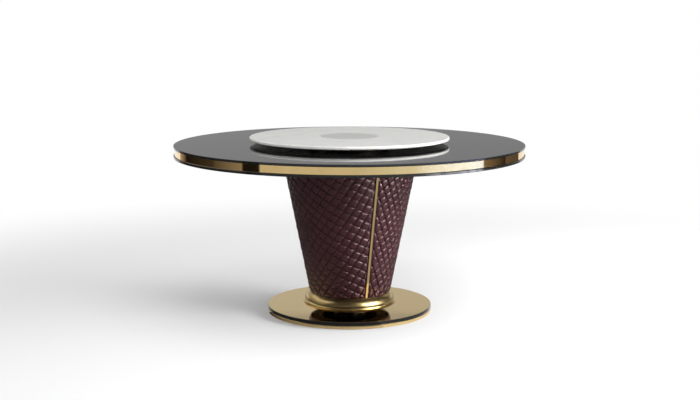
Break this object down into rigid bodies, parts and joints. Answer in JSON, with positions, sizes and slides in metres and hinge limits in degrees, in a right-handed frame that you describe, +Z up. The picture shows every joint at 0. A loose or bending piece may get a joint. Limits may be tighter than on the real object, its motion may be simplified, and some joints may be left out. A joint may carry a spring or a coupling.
{
  "type": "round dining table",
  "caption": "Round dining table with a black top in a gold band, a spinning marble turntable, a quilted leather cone pedestal and a stepped round base.",
  "frame": {"origin": "on the floor, on the pedestal's axis", "axes": "+Z up along the pedestal, -Y towards the viewer of the picture, one leather seam to the right of -Y"},
  "size_m": [1.556, 1.5559, 0.791],
  "materials": {
    "black_slab": "polished",
    "black_lacquer": "gloss lacquer",
    "gold_polished": "polished",
    "gold_satin": "satin",
    "gold_plated_steel": "satin gold plating",
    "gold_mirror": "mirror",
    "board_core": "raw fibreboard",
    "plywood": "raw",
    "painted_steel": "satin powder coat",
    "zinc_steel": "zinc plated",
    "plum_leather": "semi gloss",
    "nylon": "matte",
    "silicone": "matte",
    "bearing_aluminium": "anodised",
    "bearing_steel": "polished",
    "white_marble": "polished",
    "grey_stone": "honed"
  },
  "bodies": {
    "table": {"top_panel": "black_slab", "under_panel": "black_lacquer", "base_board": "black_lacquer", "edge_band": "gold_polished", "seam_strip_front": "gold_polished", "seam_strip_rear": "gold_polished", "collar_ring": "gold_satin", "base_plate": "gold_plated_steel", "base_sheet": "gold_mirror", "top_core": "board_core", "drum_shell": "plywood", "drum_head_hoop": "plywood", "drum_mid_hoop": "plywood", "drum_foot_hoop": "plywood", "drum_battens": "plywood", "foot_flange": "painted_steel", "column_tube": "painted_steel", "head_plate": "painted_steel", "foot_gussets": "painted_steel", "head_gussets": "painted_steel", "base_bolts": "zinc_steel", "base_washers": "zinc_steel", "base_nuts": "zinc_steel", "collar_screws": "zinc_steel", "head_screws": "zinc_steel", "top_inserts": "zinc_steel", "top_washers": "zinc_steel", "top_bolts": "zinc_steel", "quilted_panel_front": "plum_leather", "quilted_panel_rear": "plum_leather", "floor_glides": "nylon", "bearing_pads": "silicone", "bearing_outer_ring": "bearing_aluminium"},
    "turntable": {"bearing_inner_ring": "bearing_aluminium", "bearing_screws": "zinc_steel", "turntable_board": "black_lacquer", "marble_disc": "white_marble", "centre_inlay": "grey_stone"},
    "ball_ring": {"ball_cage": "nylon", "bearing_balls": "bearing_steel"}
  },
  "joints": [
    {"name": "turntable_spin", "type": "hinge", "parent": "table", "child": "turntable", "pos_m": [0, 0, 0.7663], "axis": [0, 0, 1], "continuous": true},
    {"name": "ball_ring_spin", "type": "hinge", "parent": "table", "child": "ball_ring", "pos_m": [0, 0, 0.7663], "axis": [0, 0, 1], "continuous": true}
  ],
  "couplings": [
    {"joint": "ball_ring_spin", "follows": "turntable_spin", "ratio": 0.49125}
  ]
}
